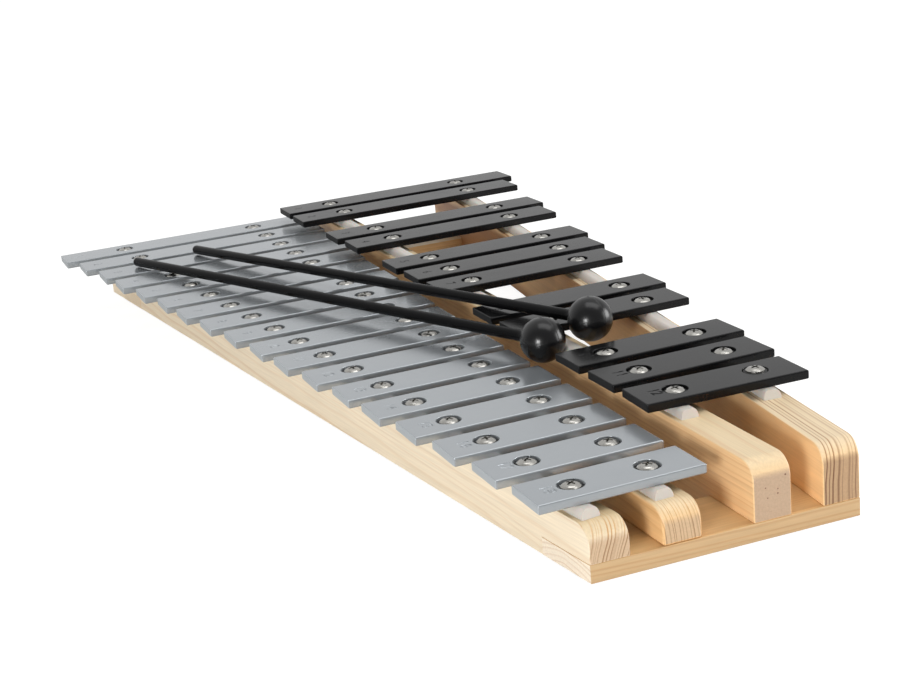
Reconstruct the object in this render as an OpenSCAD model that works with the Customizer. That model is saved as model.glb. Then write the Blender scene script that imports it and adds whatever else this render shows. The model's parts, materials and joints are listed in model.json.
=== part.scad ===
// Chromatic metallophone with thirty steel tone bars on a converging pine frame.
// X runs from the bass end to the treble end, Y from the natural bars to the accidental bars,
// Z up, with the origin under the middle of the instrument on the surface it stands on.

/* [Tone bars] */
// Width of every tone bar
bar_w = 24; // [20:0.5:26]
// Thickness of every tone bar
bar_t = 4; // [3.6:0.1:6]
// Length of the lowest bar
longest_bar = 168.5; // [150:0.5:180]
// Number of semitones over which the bar length falls to half
halving_steps = 23.5; // [22:0.5:26]
// Chamfer round the top face of a bar
bar_chamfer = 0.7; // [0.3:0.1:1]
// Centre distance of two neighbouring natural bars
natural_pitch = 31.2; // [29:0.1:36]
// Centre distance of two neighbouring accidental bars
accidental_pitch = 31.5; // [29:0.1:36]
// How far the accidental row sits towards the bass from the middle of its gaps
accidental_lag = 4.3; // [0:0.1:6]
// Angle at which the last accidental bar lies askew, its holes drilled off its middle line
last_bar_skew = -2.4; // [-3:0.1:3]
// How far the lowest accidental bar sits off the middle of its screws, away from the natural bars
first_bar_shift = 3; // [0:0.5:4]

/* [Rails] */
// Width of a rail, measured across the instrument
rail_w = 16.5; // [14:0.5:20]
// Height of the two rails under the natural bars
natural_rail_h = 22.6; // [18:0.1:30]
// Height of the two rails under the accidental bars
accidental_rail_h = 32; // [30:0.1:40]
// Radius of the rounded top corner at each rail end
rail_round = 8; // [4:0.5:10]
// Distance of the outer rails from the frame's axis at the lowest bar
outer_bass = 117.5; // [105:0.5:130]
// Distance of the outer rails from the frame's axis at the treble end
outer_treble = 49.8; // [46:0.2:56]
// Distance of the inner natural rail from the frame's axis at the lowest bar
natural_inner_bass = 29.4; // [26:0.2:34]
// Distance of the inner natural rail from the frame's axis at the treble end
natural_inner_treble = 19.6; // [18:0.2:21]
// Distance of the inner accidental rail from the frame's axis at the lowest bar
accidental_inner_bass = 23.3; // [21:0.2:28]
// Distance of the inner accidental rail from the frame's axis at the treble end
accidental_inner_treble = 19; // [17:0.2:21]
// Wood past the last natural bar at the treble end, on the frame's axis
treble_margin = 13; // [10:0.5:20]
// Angle by which the treble end is cut out of square, its accidental side the longer
treble_skew = 1.7; // [-3:0.1:3]
// Wood of the natural rails past the lowest bar
natural_bass_margin = 0; // [0:0.5:12]
// Wood of the accidental rails past the lowest natural bar
accidental_bass_margin = 10.5; // [1:0.5:16]

/* [Battens] */
// Width of a cross batten, measured along the instrument
batten_w = 33; // [24:0.5:40]
// Thickness of a cross batten
batten_t = 7.5; // [6:0.1:10]
// Distance from the lowest bar's outer edge to the bass batten
bass_batten_inset = 24; // [16:0.5:40]

/* [Bearing strips] */
// Width of a bearing strip at its foot
strip_w = 8; // [7:0.5:12]
// Height of a bearing strip
strip_h = 4; // [3:0.1:6]
// Width of the flat crown that the bars rest on
strip_crown = 3.2; // [2:0.1:6]
// How far a strip runs on past the first and the last bar of its row
strip_overrun = 3.8; // [3:0.1:8]
// Slope of a strip's cut end, from the upright
strip_end_angle = 10; // [0:5:50]
// How far a strip lies off its screws' line, towards the player, on all rails but the outermost accidental one
strip_shift = 2.2; // [0:0.1:3]

/* [Bar screws] */
// Diameter of a screw's domed head
head_d = 8.2; // [7:0.1:9]
// Height of the dome above the head's rim
dome_h = 1.25; // [0.8:0.05:2]
// Height of the head's straight rim
head_rim_h = 0.6; // [0.4:0.05:1]
// Depth of the head's underside below the top of the bar
head_sink = 1.2; // [0.6:0.05:1.4]
// Diameter of the screw shank
shank_d = 3.5; // [3:0.1:4]
// Length of thread in the rail
thread_bite = 12; // [8:0.5:14]
// Diameter of the pilot hole for the thread
pilot_d = 2.6; // [2:0.1:2.9]
// Width of the cross recess
recess_w = 1; // [0.7:0.1:1.4]
// Length of the cross recess
recess_l = 4; // [3:0.1:5]
// Depth of the cross recess
recess_depth = 1.2; // [0.8:0.1:1.6]
// How far the last accidental bar's outer screw stands above the others
proud_screw = 1; // [0:0.1:1.5]

/* [Washers] */
// Diameter of the black rubber washer in the bar's counterbore
washer_d = 10.4; // [9.6:0.1:12]
// Thickness of the washer
washer_t = 0.8; // [0.5:0.05:1]
// Radial clearance between the washer and the counterbore
washer_clear = 0.4; // [0.2:0.05:0.8]
// Radial clearance between the shank and the hole through the bar
shank_clear = 1.5; // [1:0.1:1.8]
// Free lift of a bar before its shoulder meets the washer
bar_float = 0.25; // [0.2:0.05:0.6]

/* [Frame screws] */
// Head diameter of the countersunk screws under the battens
frame_head_d = 7; // [6:0.1:8]
// Length of the countersunk screws
frame_screw_l = 19; // [14:0.5:20]
// Distance of these screws from the outer edge of their batten
frame_screw_inset = 12; // [8:0.5:16]
// Least distance between these screws and the bar screws in the same rail
screw_spacing = 8; // [6:0.5:12]

/* [Mallets] */
// Diameter of a mallet's ball
ball_d = 22; // [18:0.5:24]
// Diameter of a mallet's stick
stick_d = 5.6; // [5:0.1:7]
// Length from the middle of the ball to the butt
mallet_l = 356; // [320:1:370]
// Length of the cone where the stick swells into the ball
flare_l = 5; // [2:0.5:8]
// Diameter of that cone at the ball
flare_d = 7.6; // [7:0.1:9]
// Angle of the front mallet across the bars
front_heading = 20.6; // [17:0.1:24]
// Angle of the back mallet across the bars
back_heading = 18.2; // [15:0.1:21]
// Distance of the front ball's middle past the ends of the natural bars
front_reach = 5.3; // [4:0.1:8]
// Distance of the back ball's middle past the ends of the natural bars
back_reach = 30.4; // [28:0.1:36]
// How far both balls lie towards the bass from the middle of the gap in the accidentals
ball_lag = 0.8; // [0:0.1:3]
// Gap under a mallet where it lies on a bar
rest_gap = 0.4; // [0.3:0.05:0.6]

/* [Hidden] */

$fn = 48;
// A little extra length where one solid cuts right through another
cut = 1;
steps_in_octave = 12;
// The lowest bar is a G, seven semitones above a C
first_step = 7;
top_bar = 29;
bar_numbers = [0:1:top_bar];
natural_numbers = [for (n = bar_numbers) if (!is_sharp(n)) n];
accidental_numbers = [for (n = bar_numbers) if (is_sharp(n)) n];
first_accidental = accidental_numbers[0];
last_accidental = accidental_numbers[len(accidental_numbers) - 1];
// The balls lie over the gap between the D sharp and the F sharp of the upper octave
gap_low = 20;
gap_high = 23;
// The back stick lies on the C sharp below that gap
propping_bar = 18;
// The bar ends that the front ball lies against
seat_low = 21;
seat_high = 22;

treble_x = bar_x(top_bar) + bar_w / 2 + treble_margin;
natural_bass_x = -bar_w / 2 - natural_bass_margin;
accidental_bass_x = -bar_w / 2 - accidental_bass_margin;
bass_batten_x = -bar_w / 2 + bass_batten_inset;
natural_bar_z = natural_rail_h + strip_h;
accidental_bar_z = accidental_rail_h + strip_h;
natural_top = natural_bar_z + bar_t;
accidental_top = accidental_bar_z + bar_t;

low_y = min([for (n = bar_numbers) bar_y(n) - bar_l(n) / 2]);
high_y = max([for (n = bar_numbers) bar_y(n) + bar_l(n) / 2]);
middle_x = (min(natural_bass_x, accidental_bass_x) + max(end_corner_x(-1), end_corner_x(1))) / 2;
middle_y = (low_y + high_y) / 2;

counterbore_d = washer_d + 2 * washer_clear;
shoulder_depth = head_sink + washer_t + bar_float;
through_d = shank_d + 2 * shank_clear;
washer_bore_clear = 0.05;
washer_bore_d = shank_d + 2 * washer_bore_clear;
strip_hole_clear = 0.3;
strip_hole_d = shank_d + 2 * strip_hole_clear;
screw_tip_h = 0.5;
frame_screw_tip_h = 1.5;
flare_overlap = 1;
underside_chamfer = 0.3;
frame_head_clear = 0.1;
// Wood left past the treble end before it is cut
end_spare = rail_w;

function is_sharp(n) = let (step = (n + first_step) % steps_in_octave)
    step == 1 || step == 3 || step == 6 || step == 8 || step == 10;
// Number of natural bars below bar n
function naturals_below(n) = len([for (k = [0:1:n - 1]) if (!is_sharp(k)) k]);
function bar_x(n) = is_sharp(n)
    ? (naturals_below(n) - 0.5) * accidental_pitch - accidental_lag
    : naturals_below(n) * natural_pitch;
function bar_l(n) = longest_bar * pow(2, -n / halving_steps);
function bar_z(n) = is_sharp(n) ? accidental_bar_z : natural_bar_z;
function bar_skew(n) = n == last_accidental ? last_bar_skew : 0;

// Centre line of each rail, as its distance across the instrument at the place x
function along(bass, treble, x) = bass + (treble - bass) * x / treble_x;
function natural_outer_y(x) = -along(outer_bass, outer_treble, x);
function natural_inner_y(x) = -along(natural_inner_bass, natural_inner_treble, x);
function accidental_inner_y(x) = along(accidental_inner_bass, accidental_inner_treble, x);
function accidental_outer_y(x) = along(outer_bass, outer_treble, x);
function rail_y(rail, x) = rail == 0 ? natural_outer_y(x)
    : rail == 1 ? natural_inner_y(x)
    : rail == 2 ? accidental_inner_y(x)
    : accidental_outer_y(x);
function low_rail(n) = is_sharp(n) ? 2 : 0;
function bar_shift(n) = n == first_accidental ? first_bar_shift : 0;
function bar_y(n) = (rail_y(low_rail(n), bar_x(n)) + rail_y(low_rail(n) + 1, bar_x(n))) / 2 + bar_shift(n);
function strip_y(rail, x) = rail_y(rail, x) - (rail == 3 ? 0 : strip_shift);

function is_natural_rail(rail) = rail < 2;
function row_numbers(rail) = is_natural_rail(rail) ? natural_numbers : accidental_numbers;
function rail_h(rail) = is_natural_rail(rail) ? natural_rail_h : accidental_rail_h;
function rail_bass_x(rail) = is_natural_rail(rail) ? natural_bass_x : accidental_bass_x;
function row_top(rail) = is_natural_rail(rail) ? natural_top : accidental_top;
function screw_lift(rail, n) = rail == 3 && n == last_accidental ? proud_screw : 0;

// Everything is laid out from the lowest bar, then moved so that the origin is in the middle
module placed() {
    translate([-middle_x, -middle_y, 0]) children();
}

// Place along X of the frame's outer corner at the treble end, on the side of the given sign
function end_corner_x(side) = let (slope = side * tan(treble_skew))
    (treble_x + slope * (outer_bass + rail_w / 2))
    / (1 - slope * (outer_treble - outer_bass) / treble_x);

// Outline of a bar seen from its end, chamfered along both top edges
module bar_end_outline() {
    polygon([
        [-bar_w / 2 + underside_chamfer, 0],
        [bar_w / 2 - underside_chamfer, 0],
        [bar_w / 2, underside_chamfer],
        [bar_w / 2, bar_t - bar_chamfer],
        [bar_w / 2 - bar_chamfer, bar_t],
        [-bar_w / 2 + bar_chamfer, bar_t],
        [-bar_w / 2, bar_t - bar_chamfer],
        [-bar_w / 2, underside_chamfer]]);
}

// Outline of a bar seen from its long side
module bar_side_outline(length) {
    polygon([
        [-length / 2, 0],
        [length / 2, 0],
        [length / 2, bar_t - bar_chamfer],
        [length / 2 - bar_chamfer, bar_t],
        [-length / 2 + bar_chamfer, bar_t],
        [-length / 2, bar_t - bar_chamfer]]);
}

// Stepped hole of a tone bar, from its top face down
module bar_hole() {
    translate([0, 0, -cut]) cylinder(d = through_d, h = bar_t + 2 * cut);
    translate([0, 0, bar_t - shoulder_depth]) cylinder(d = counterbore_d, h = shoulder_depth + cut);
}

module tone_bar(n) {
    length = bar_l(n);
    colour = is_sharp(n) ? [0.09, 0.09, 0.09] : [0.66, 0.68, 0.69];
    color(colour)
    placed()
    translate([bar_x(n), bar_y(n), bar_z(n)])
    rotate([0, 0, bar_skew(n)])
    difference() {
        intersection() {
            rotate([90, 0, 0]) linear_extrude(length + 2 * cut, center = true) bar_end_outline();
            rotate([90, 0, 90]) linear_extrude(bar_w + 2 * cut, center = true) bar_side_outline(length);
        }
        for (rail = [low_rail(n), low_rail(n) + 1])
            rotate([0, 0, -bar_skew(n)])
            translate([0, rail_y(rail, bar_x(n)) - bar_y(n), 0])
            bar_hole();
    }
}

// What is cut off past a rail's end and rounded off its top corner, with the corner's edge at the origin
module end_waste(height, spare) {
    difference() {
        translate([-rail_round, -rail_w, -height - cut])
            cube([rail_round + spare, 2 * rail_w, height + 2 * cut]);
        translate([-rail_round, 0, -rail_round])
            rotate([90, 0, 0]) cylinder(r = rail_round, h = 4 * rail_w, center = true);
        translate([-2 * rail_round, -2 * rail_w, -height - 2 * cut])
            cube([2 * rail_round, 4 * rail_w, height + 2 * cut - rail_round]);
    }
}

// Plan of the strip of ground that a band of the given width along a rail covers
module band_plan(rail, width, x0, x1) {
    polygon([
        [x0, rail_y(rail, x0) - width / 2],
        [x1, rail_y(rail, x1) - width / 2],
        [x1, rail_y(rail, x1) + width / 2],
        [x0, rail_y(rail, x0) + width / 2]]);
}

// Plan of the frame's outline between two places along X
module frame_plan(x0, x1) {
    polygon([
        [x0, natural_outer_y(x0) - rail_w / 2],
        [x1, natural_outer_y(x1) - rail_w / 2],
        [x1, accidental_outer_y(x1) + rail_w / 2],
        [x0, accidental_outer_y(x0) + rail_w / 2]]);
}

// Block right across the frame, its sides parallel to the treble end's cut and measured from it
module treble_block(x0, x1, height) {
    translate([treble_x, 0, -cut])
        rotate([0, 0, -treble_skew])
        translate([x0, -2 * outer_bass, 0])
        cube([x1 - x0, 4 * outer_bass, height + cut]);
}

// Space that the treble batten (0) or the bass batten (1) takes out of the rails
module batten_space(k) {
    if (k == 0)
        treble_block(-batten_w, end_spare, batten_t);
    else
        translate([bass_batten_x, -2 * outer_bass, -cut])
            cube([batten_w, 4 * outer_bass, batten_t + cut]);
}

function outer_line(k) = k == 0 ? treble_x - frame_screw_inset : bass_batten_x + frame_screw_inset;
// Place of a frame screw along its rail, moved aside where a bar screw comes down too near it
function frame_screw_x(rail, k) = let (
    x = outer_line(k),
    gap = min([for (n = row_numbers(rail)) abs(x - bar_x(n))]),
    bars_before = [for (n = row_numbers(rail)) if (bar_x(n) <= x && x - bar_x(n) < screw_spacing) n],
    shift = max(0, screw_spacing - gap))
    len(bars_before) > 0 ? x + shift : x - shift;

module rail(rail) {
    bass_x = rail_bass_x(rail);
    height = rail_h(rail);
    end_y = rail_y(rail, treble_x);
    color([0.93, 0.84, 0.68])
    placed()
    difference() {
        linear_extrude(height) band_plan(rail, rail_w, bass_x - end_spare, treble_x + end_spare);
        translate([treble_x + end_y * tan(treble_skew), end_y, height])
            rotate([0, 0, -treble_skew])
            end_waste(height, 2 * end_spare);
        translate([bass_x, rail_y(rail, bass_x), height])
            mirror([1, 0, 0])
            end_waste(height, 2 * end_spare);
        for (k = [0, 1]) {
            batten_space(k);
            translate([frame_screw_x(rail, k), rail_y(rail, frame_screw_x(rail, k)), 0])
                cylinder(d = pilot_d, h = frame_screw_l);
        }
        for (n = row_numbers(rail))
            translate([bar_x(n), rail_y(rail, bar_x(n)), height - thread_bite])
            cylinder(d = pilot_d, h = thread_bite + cut);
    }
}

// Countersink and clearance hole for a frame screw, opening downwards
module frame_screw_hole() {
    rotate_extrude() polygon([
        [0, -cut],
        [frame_head_d / 2 + frame_head_clear, -cut],
        [frame_head_d / 2 + frame_head_clear, frame_head_clear],
        [shank_d / 2 + frame_head_clear, frame_head_d / 2 - shank_d / 2 + frame_head_clear],
        [shank_d / 2 + frame_head_clear, batten_t + cut],
        [0, batten_t + cut]]);
}

module batten(k) {
    color([0.90, 0.79, 0.60])
    placed()
    difference() {
        if (k == 0)
            intersection() {
                linear_extrude(batten_t) frame_plan(treble_x - batten_w - end_spare, treble_x + end_spare);
                treble_block(-batten_w, 0, batten_t + cut);
            }
        else
            linear_extrude(batten_t) frame_plan(bass_batten_x, bass_batten_x + batten_w);
        for (rail = [0:1:3])
            translate([frame_screw_x(rail, k), rail_y(rail, frame_screw_x(rail, k)), 0])
            frame_screw_hole();
    }
}

// Section of a bearing strip: a low arch with a flat crown
module strip_section() {
    slope_steps = 6;
    side = [for (k = [0:1:slope_steps]) let (a = 90 * k / slope_steps)
        [strip_crown / 2 + (strip_w - strip_crown) / 2 * cos(a), strip_h * sin(a)]];
    other_side = [for (k = [slope_steps:-1:0]) [-side[k][0], side[k][1]]];
    polygon(concat(side, other_side));
}

module strip(rail) {
    row = row_numbers(rail);
    x0 = max(bar_x(row[0]) - bar_w / 2 - strip_overrun, rail_bass_x(rail) + rail_round);
    x1 = bar_x(row[len(row) - 1]) + bar_w / 2 + strip_overrun;
    turn = atan2(strip_y(rail, x1) - strip_y(rail, x0), x1 - x0);
    reach = norm([x1 - x0, strip_y(rail, x1) - strip_y(rail, x0)]);
    slant = strip_h * tan(strip_end_angle);
    color([0.93, 0.93, 0.91])
    placed()
    difference() {
        translate([x0, strip_y(rail, x0), rail_h(rail)])
        rotate([0, 0, turn])
        intersection() {
            rotate([90, 0, 90]) linear_extrude(reach) strip_section();
            translate([0, strip_w, 0]) rotate([90, 0, 0]) linear_extrude(2 * strip_w) polygon([
                [0, 0],
                [reach, 0],
                [reach - slant, strip_h],
                [0, strip_h]]);
        }
        for (n = row)
            translate([bar_x(n), rail_y(rail, bar_x(n)), rail_h(rail) - cut])
            cylinder(d = strip_hole_d, h = strip_h + 2 * cut);
    }
}

// Domed head of a bar screw with its cross recess, standing on its underside
module screw_head() {
    dome_r = (pow(head_d / 2, 2) + pow(dome_h, 2)) / (2 * dome_h);
    dome_angle = asin(head_d / 2 / dome_r);
    dome_steps = 6;
    dome = [for (k = [0:1:dome_steps]) let (a = dome_angle * (1 - k / dome_steps))
        [dome_r * sin(a), head_rim_h + dome_h - dome_r * (1 - cos(a))]];
    difference() {
        rotate_extrude() polygon(concat([[0, 0], [head_d / 2, 0]], dome));
        for (turn = [45, 135])
            rotate([0, 0, turn])
            translate([-recess_l / 2, -recess_w / 2, head_rim_h + dome_h - recess_depth])
            cube([recess_l, recess_w, recess_depth + cut]);
    }
}

// Bar screw with its head's underside at the origin
module bar_screw(lift, row_height, wood_height) {
    shank_l = row_height - head_sink - (wood_height - thread_bite) + lift;
    screw_head();
    translate([0, 0, -shank_l + screw_tip_h]) cylinder(d = shank_d, h = shank_l - screw_tip_h);
    translate([0, 0, -shank_l]) cylinder(d1 = shank_d / 2, d2 = shank_d, h = screw_tip_h);
}

module screw_row(rail) {
    color([0.80, 0.80, 0.80])
    placed()
    for (n = row_numbers(rail))
        translate([bar_x(n), rail_y(rail, bar_x(n)), row_top(rail) - head_sink + screw_lift(rail, n)])
        bar_screw(screw_lift(rail, n), row_top(rail), rail_h(rail));
}

module washer_row(rail) {
    color([0.06, 0.06, 0.06])
    placed()
    for (n = row_numbers(rail))
        translate([bar_x(n), rail_y(rail, bar_x(n)),
            row_top(rail) - head_sink - washer_t + screw_lift(rail, n)])
        difference() {
            cylinder(d = washer_d, h = washer_t);
            translate([0, 0, -cut]) cylinder(d = washer_bore_d, h = washer_t + 2 * cut);
        }
}

// Countersunk screws that hold the battens up against the rails
module frame_screws() {
    head_h = frame_head_d / 2 - shank_d / 2;
    color([0.72, 0.72, 0.70])
    placed()
    for (k = [0, 1], rail = [0:1:3])
        translate([frame_screw_x(rail, k), rail_y(rail, frame_screw_x(rail, k)), 0])
        rotate_extrude() polygon([
            [0, frame_head_clear],
            [frame_head_d / 2, frame_head_clear],
            [shank_d / 2, head_h + frame_head_clear],
            [shank_d / 2, frame_screw_l - frame_screw_tip_h],
            [0, frame_screw_l]]);
}

// One-piece mallet pointing along +X, with the middle of its ball at the origin
module mallet_body() {
    sphere(d = ball_d);
    rotate([0, -90, 0]) cylinder(d = stick_d, h = mallet_l - stick_d / 2);
    translate([-mallet_l + stick_d / 2, 0, 0]) sphere(d = stick_d);
    translate([-ball_d / 2 - flare_l, 0, 0]) rotate([0, 90, 0])
        cylinder(d1 = stick_d, d2 = flare_d, h = flare_l + flare_overlap);
}

ball_x = (bar_x(gap_low) + bar_x(gap_high)) / 2 - ball_lag;
bar_end_y = max(bar_y(seat_low) + bar_l(seat_low) / 2, bar_y(seat_high) + bar_l(seat_high) / 2);
butt_z = natural_top + stick_d / 2 + rest_gap;
seat_r = ball_d / 2 + rest_gap;
seat_dx = max(0, ball_x - bar_x(seat_low) - bar_w / 2);
seat_dy = accidental_inner_y(ball_x) - rail_w / 2 - bar_end_y - front_reach;
// The front ball lies between the ends of the natural bars and the edge of the next rail
front_ball_z = max(
    natural_top + sqrt(pow(seat_r, 2) - pow(front_reach, 2) - pow(seat_dx, 2)),
    accidental_rail_h + sqrt(pow(seat_r, 2) - pow(seat_dy, 2)));
// The back stick rises from the natural bars over the near corner of the bar that props it
butt_run = mallet_l * cos(back_heading);
prop_run = bar_x(propping_bar) - bar_w / 2 - (ball_x - butt_run);
back_ball_z = butt_z + (accidental_top - natural_top) * butt_run / prop_run;

module mallet(heading, reach, ball_z) {
    color([0.07, 0.07, 0.08])
    placed()
    translate([ball_x, bar_end_y + reach, ball_z])
    rotate([0, 0, heading])
    rotate([0, -asin((ball_z - butt_z) / (mallet_l - stick_d / 2)), 0])
    mallet_body();
}

module front_mallet() {
    mallet(front_heading, front_reach, front_ball_z);
}

module back_mallet() {
    mallet(back_heading, back_reach, back_ball_z);
}

for (n = bar_numbers)
    tone_bar(n);
rail(0);  // natural_outer_rail
rail(1);  // natural_inner_rail
rail(2);  // accidental_inner_rail
rail(3);  // accidental_outer_rail
batten(0);  // treble_batten
batten(1);  // bass_batten
strip(0);  // natural_outer_strip
strip(1);  // natural_inner_strip
strip(2);  // accidental_inner_strip
strip(3);  // accidental_outer_strip
screw_row(0);  // natural_outer_screws
screw_row(1);  // natural_inner_screws
screw_row(2);  // accidental_inner_screws
screw_row(3);  // accidental_outer_screws
washer_row(0);  // natural_outer_washers
washer_row(1);  // natural_inner_washers
washer_row(2);  // accidental_inner_washers
washer_row(3);  // accidental_outer_washers
frame_screws();
front_mallet();
back_mallet();
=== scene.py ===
# Chromatic metallophone: lacquered steel bars over bearing strips on a pine frame, with two moulded mallets.
import json
import math

import bmesh
import bpy
from mathutils import Matrix, Vector


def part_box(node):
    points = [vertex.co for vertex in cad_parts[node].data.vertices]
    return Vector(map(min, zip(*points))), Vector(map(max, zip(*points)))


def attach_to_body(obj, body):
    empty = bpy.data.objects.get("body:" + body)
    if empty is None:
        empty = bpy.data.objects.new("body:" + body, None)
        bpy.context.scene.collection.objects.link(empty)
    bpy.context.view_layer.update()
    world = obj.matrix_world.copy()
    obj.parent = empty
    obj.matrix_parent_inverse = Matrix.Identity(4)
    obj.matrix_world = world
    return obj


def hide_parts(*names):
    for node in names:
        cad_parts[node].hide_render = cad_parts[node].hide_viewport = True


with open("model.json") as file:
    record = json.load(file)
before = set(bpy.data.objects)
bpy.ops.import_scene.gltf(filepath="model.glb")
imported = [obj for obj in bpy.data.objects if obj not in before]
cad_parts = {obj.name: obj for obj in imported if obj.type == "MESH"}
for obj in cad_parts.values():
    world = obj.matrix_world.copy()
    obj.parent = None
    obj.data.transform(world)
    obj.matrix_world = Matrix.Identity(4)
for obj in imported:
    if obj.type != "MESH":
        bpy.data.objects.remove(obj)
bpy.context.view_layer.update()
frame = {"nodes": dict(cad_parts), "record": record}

mm = 0.001  # the object's sizes below are in millimetres


def linearColour(hexCode):
    # sRGB hex value to the linear values that shaders take
    parts = [int(hexCode[i:i + 2], 16) / 255 for i in (1, 3, 5)]
    return tuple(p / 12.92 if p <= 0.04045 else ((p + 0.055) / 1.055) ** 2.4 for p in parts) + (1.0,)


def addNode(tree, kind, values=None):
    # settings go by name, sockets by name or number; a node or socket given as the value is linked
    node = tree.nodes.new(kind)
    for key, value in (values or {}).items():
        if isinstance(key, str) and key not in node.inputs:
            setattr(node, key, value)
            continue
        for source in value if isinstance(value, list) else [value]:
            if isinstance(source, bpy.types.Node):
                source = source.outputs[0]
            if isinstance(source, bpy.types.NodeSocket):
                tree.links.new(source, node.inputs[key])
            else:
                node.inputs[key].default_value = source
    return node


def calc(tree, operation, *terms, use_clamp=False):
    return addNode(tree, "ShaderNodeMath", {
        "operation": operation, "use_clamp": use_clamp, **dict(enumerate(terms))})


def vectorCalc(tree, operation, *terms):
    return addNode(tree, "ShaderNodeVectorMath", {"operation": operation, **dict(enumerate(terms))})


def remap(tree, value, source, target=(0, 1), shape="LINEAR"):
    return addNode(tree, "ShaderNodeMapRange", {
        "interpolation_type": shape, "Value": value, "From Min": source[0], "From Max": source[1],
        "To Min": target[0], "To Max": target[1]})


def blend(tree, share, first, second):
    # a colour mix, handed back as its colour socket
    return addNode(tree, "ShaderNodeMix", {"data_type": "RGBA", 0: share, 6: first, 7: second}).outputs[2]


def vector(tree, *parts):
    return addNode(tree, "ShaderNodeCombineXYZ", dict(enumerate(parts)))


def split(tree, whole):
    return addNode(tree, "ShaderNodeSeparateXYZ", {0: whole}).outputs


def noise(tree, place, scale, detail, roughness=0.5):
    return addNode(tree, "ShaderNodeTexNoise", {
        "Vector": place, "Scale": scale, "Detail": detail, "Roughness": roughness}).outputs["Fac"]


def move(tree, geometry, offset, turn=(0, 0, 0)):
    return addNode(tree, "GeometryNodeTransform", {"Geometry": geometry, "Translation": offset, "Rotation": turn})


def newMaterial(name, settings):
    material = bpy.data.materials.new(name)
    material.use_nodes = True
    shader = material.node_tree.nodes["Principled BSDF"]
    for key, value in settings.items():
        shader.inputs[key].default_value = value
    return material, material.node_tree, shader


def newTree(name, sockets):
    tree = bpy.data.node_groups.new(name, "GeometryNodeTree")
    tree.interface.new_socket("Geometry", in_out="INPUT", socket_type="NodeSocketGeometry")
    for label, kind in sockets.items():
        tree.interface.new_socket(label, in_out="INPUT", socket_type="NodeSocket" + kind)
    tree.interface.new_socket("Geometry", in_out="OUTPUT", socket_type="NodeSocketGeometry")
    return tree, tree.nodes.new("NodeGroupInput").outputs


def endTree(tree, geometry, material):
    # every tree ends in real geometry with its material on it
    real = addNode(tree, "GeometryNodeRealizeInstances", {"Geometry": geometry})
    painted = addNode(tree, "GeometryNodeSetMaterial", {"Geometry": real, "Material": material})
    tree.links.new(painted.outputs[0], tree.nodes.new("NodeGroupOutput").inputs[0])


def addObject(name, data):
    thing = bpy.data.objects.new(name, data)
    bpy.context.collection.objects.link(thing)
    return thing


def growPiece(name, tree, values, points=(), rounding=None):
    # runs a tree on a new object and keeps the result as a plain mesh
    seed = bpy.data.meshes.new(name)
    seed.from_pydata(points, [], [])
    piece = addObject(name, seed)
    modifier = piece.modifiers.new(tree.name, "NODES")
    modifier.node_group = tree
    sockets = {item.name: item.identifier for item in tree.interface.items_tree if item.in_out == "INPUT"}
    for label, value in values.items():
        modifier[sockets[label]] = value
    if rounding:
        roundEdges(piece, rounding, "WEIGHT")
    evaluated = piece.evaluated_get(bpy.context.evaluated_depsgraph_get())
    mesh = bpy.data.meshes.new_from_object(evaluated)
    piece.modifiers.clear()
    piece.data = mesh
    mesh.name = name
    return piece


def roundEdges(piece, width, limit="ANGLE"):
    bevel = piece.modifiers.new("roundedEdges", "BEVEL")
    bevel.width = width
    bevel.segments = 3
    bevel.limit_method = limit
    bevel.angle_limit = math.radians(40)
    bevel.use_clamp_overlap = False
    normals = piece.modifiers.new("flatFaces", "WEIGHTED_NORMAL")
    normals.keep_sharp = True


def makeSolid(name, firstLoop, secondLoop, material, width):
    # a closed solid between two outlines with the same number of corners
    shape = bmesh.new()
    loops = [[shape.verts.new(point) for point in loop] for loop in (firstLoop, secondLoop)]
    count = len(firstLoop)
    for loop in loops:
        shape.faces.new(loop)
    for i in range(count):
        j = (i + 1) % count
        shape.faces.new((loops[0][i], loops[0][j], loops[1][j], loops[1][i]))
    bmesh.ops.recalc_face_normals(shape, faces=shape.faces)
    for face in shape.faces:
        face.smooth = True
    mesh = bpy.data.meshes.new(name)
    shape.to_mesh(mesh)
    shape.free()
    piece = addObject(name, mesh)
    mesh.materials.append(material)
    roundEdges(piece, width)
    return piece


def attach(piece, body, node):
    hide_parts(node)
    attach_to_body(piece, body)


# The frame's layout: its axis runs midway between the outer rails, its x starts at the lowest bar's middle
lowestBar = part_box("bar_g5")
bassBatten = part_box("bass_batten")
bassLine = (lowestBar[0][0] + lowestBar[1][0]) / 2
frameAxis = (bassBatten[0][1] + bassBatten[1][1]) / 2
trebleEnd = bassLine + 555.4 * mm
trebleSkew = math.tan(math.radians(1.7))  # the treble end isn't cut quite square
layout = {
    "natural_outer": {"bass": -117.5, "treble": -49.8},
    "natural_inner": {"bass": -29.4, "treble": -19.6},
    "accidental_inner": {"bass": 23.3, "treble": 19.0},
    "accidental_outer": {"bass": 117.5, "treble": 49.8},
}


def railLine(row, x):
    # y of a rail's centre line, and of its screws, at the place x
    line = layout[row]
    share = (x - bassLine) / (trebleEnd - bassLine)
    return frameAxis + mm * (line["bass"] + (line["treble"] - line["bass"]) * share)


def railAngle(row):
    return math.atan2(railLine(row, trebleEnd) - railLine(row, bassLine), trebleEnd - bassLine)


def atTreble(x, y):
    # a place near the treble end, moved along with the slanting cut
    return x + (y - frameAxis) * trebleSkew


barNames = [part["node"] for part in frame["record"]["subparts"] if part["node"].startswith("bar_")]


def isNatural(name):
    return "sharp" not in name


def middleOf(node):
    low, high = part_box(node)
    return (Vector(low) + Vector(high)) / 2


# Materials

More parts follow.
